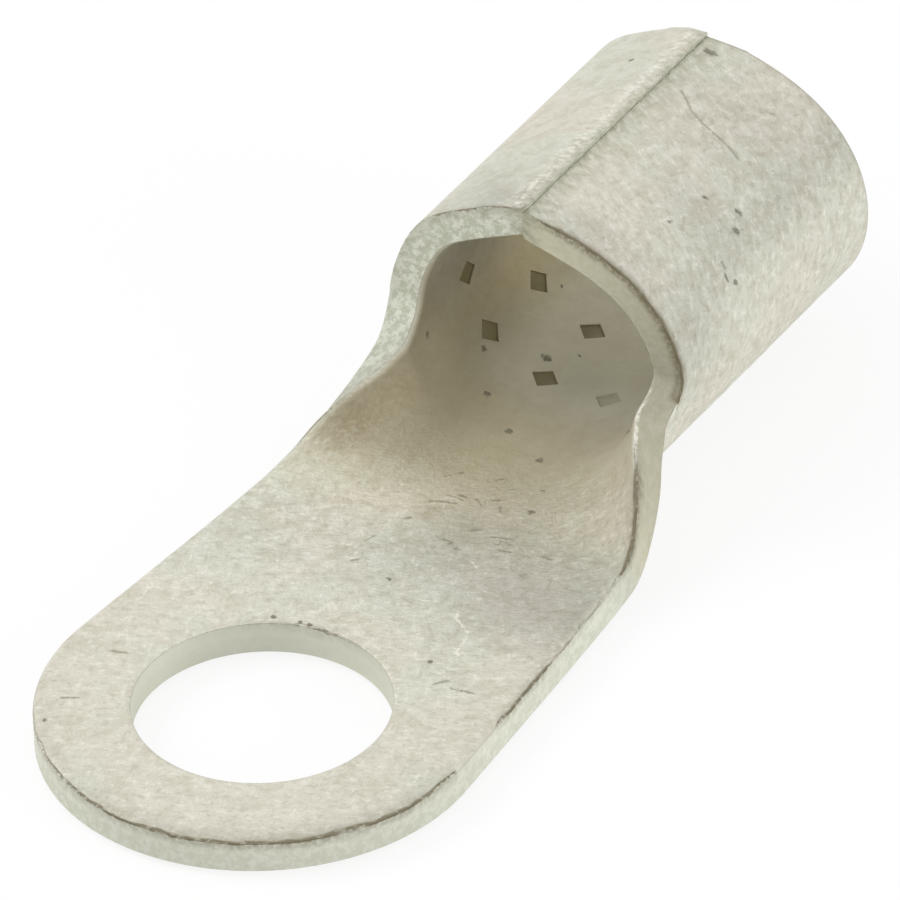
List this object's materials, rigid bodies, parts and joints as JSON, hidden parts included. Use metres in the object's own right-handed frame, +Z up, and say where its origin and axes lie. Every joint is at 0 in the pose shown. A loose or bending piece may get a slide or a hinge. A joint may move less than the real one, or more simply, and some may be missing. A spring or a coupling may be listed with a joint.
{
  "type": "ring cable lug",
  "caption": "Crimp cable lug pressed from one piece of tinned copper sheet: flat stud ring, tapering tongue and an oval barrel rolled shut along a butted seam.",
  "frame": {"origin": "centre of the stud hole at the underside of the ring", "axes": "+Z up along the stud, +X from the stud hole along the lug to the cable end of the barrel, +Y to the left seen from the ring towards the barrel"},
  "size_m": [0.045, 0.0182, 0.0128],
  "materials": {
    "tinned_copper": "matt tin plating over copper, scuffed, pale warm grey"
  },
  "bodies": {
    "root": {"cable_lug": "tinned_copper"}
  },
  "joints": []
}
